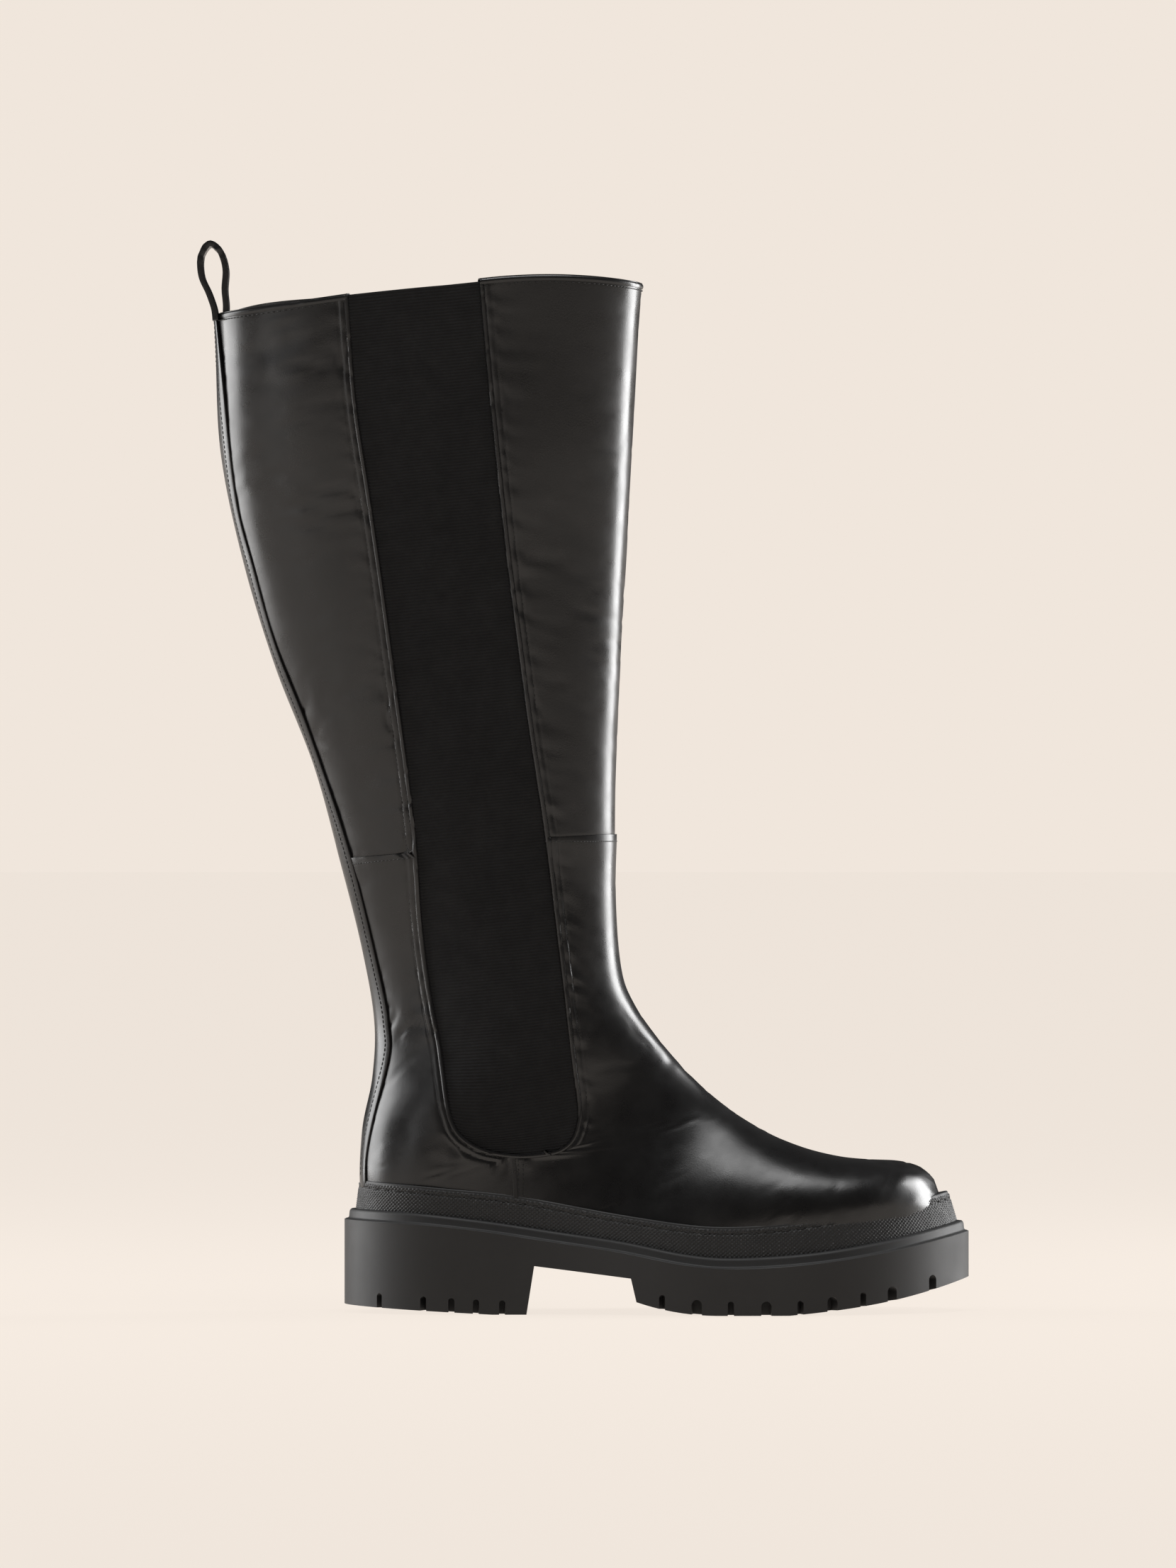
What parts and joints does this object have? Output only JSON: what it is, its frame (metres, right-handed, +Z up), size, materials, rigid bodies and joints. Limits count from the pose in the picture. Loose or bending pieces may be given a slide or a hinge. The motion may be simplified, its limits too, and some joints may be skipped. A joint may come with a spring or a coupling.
{
  "type": "knee-high pull-on boot",
  "caption": "Right-foot knee-high leather pull-on boot with full-length elastic side gores, rear pull loop, knurled storm welt and lugged block-heel rubber sole.",
  "frame": {"origin": "centre of the object's bounding box at the ground, under the lowest tread lugs", "axes": "+X towards the toe, +Y towards the inner side of the leg, +Z up the shaft"},
  "size_m": [0.3535, 0.1043, 0.49],
  "materials": {
    "leather": "polished black, fine grain",
    "lining_leather": "matte black lining leather",
    "elastic": "ribbed woven elastic",
    "sole_rubber": "matte black",
    "welt_rubber": "matte black, knurled",
    "core_foam": "moulded foam core",
    "felt": "pressed felt",
    "steel": "plain",
    "board": "leatherboard",
    "foam": "latex foam",
    "stiffener": "thermoplastic sheet"
  },
  "bodies": {
    "foot": {"outsole": "sole_rubber", "heel_core": "core_foam", "rubber_welt": "welt_rubber", "bottom_filler": "felt", "shank": "steel", "insole_board": "board", "footbed": "foam", "heel_sock": "lining_leather", "vamp": "leather", "quarter_lateral": "leather", "quarter_medial": "leather", "vamp_lining": "lining_leather", "quarter_lining": "lining_leather", "heel_counter": "stiffener", "toe_puff": "stiffener"},
    "shaft": {"shaft_front": "leather", "shaft_back_lateral": "leather", "shaft_back_medial": "leather", "shaft_lining_front": "lining_leather", "shaft_lining_back": "lining_leather", "gore_lateral": "elastic", "gore_medial": "elastic", "back_stay": "leather", "top_binding_front": "leather", "top_binding_back": "leather", "top_facing_front": "leather", "top_facing_back_lateral": "leather", "top_facing_back_medial": "leather", "loop_tail": "leather"},
    "loop": {"pull_loop": "leather"}
  },
  "joints": [
    {"name": "ankle_flex", "type": "hinge", "parent": "foot", "child": "shaft", "pos_m": [-0.04127, 0, 0.118], "axis": [0, 1, 0], "range_deg": [-10, 18], "stiffness_Nm_per_rad": 14, "deforming": ["vamp", "quarter_lateral", "quarter_medial", "vamp_lining", "quarter_lining", "gore_lateral", "gore_medial", "back_stay"]},
    {"name": "pull_loop_swing", "type": "hinge", "parent": "shaft", "child": "loop", "pos_m": [-0.16587, 0, 0.458], "axis": [0, 1, 0], "range_deg": [-25, 25], "stiffness_Nm_per_rad": 0.3}
  ]
}
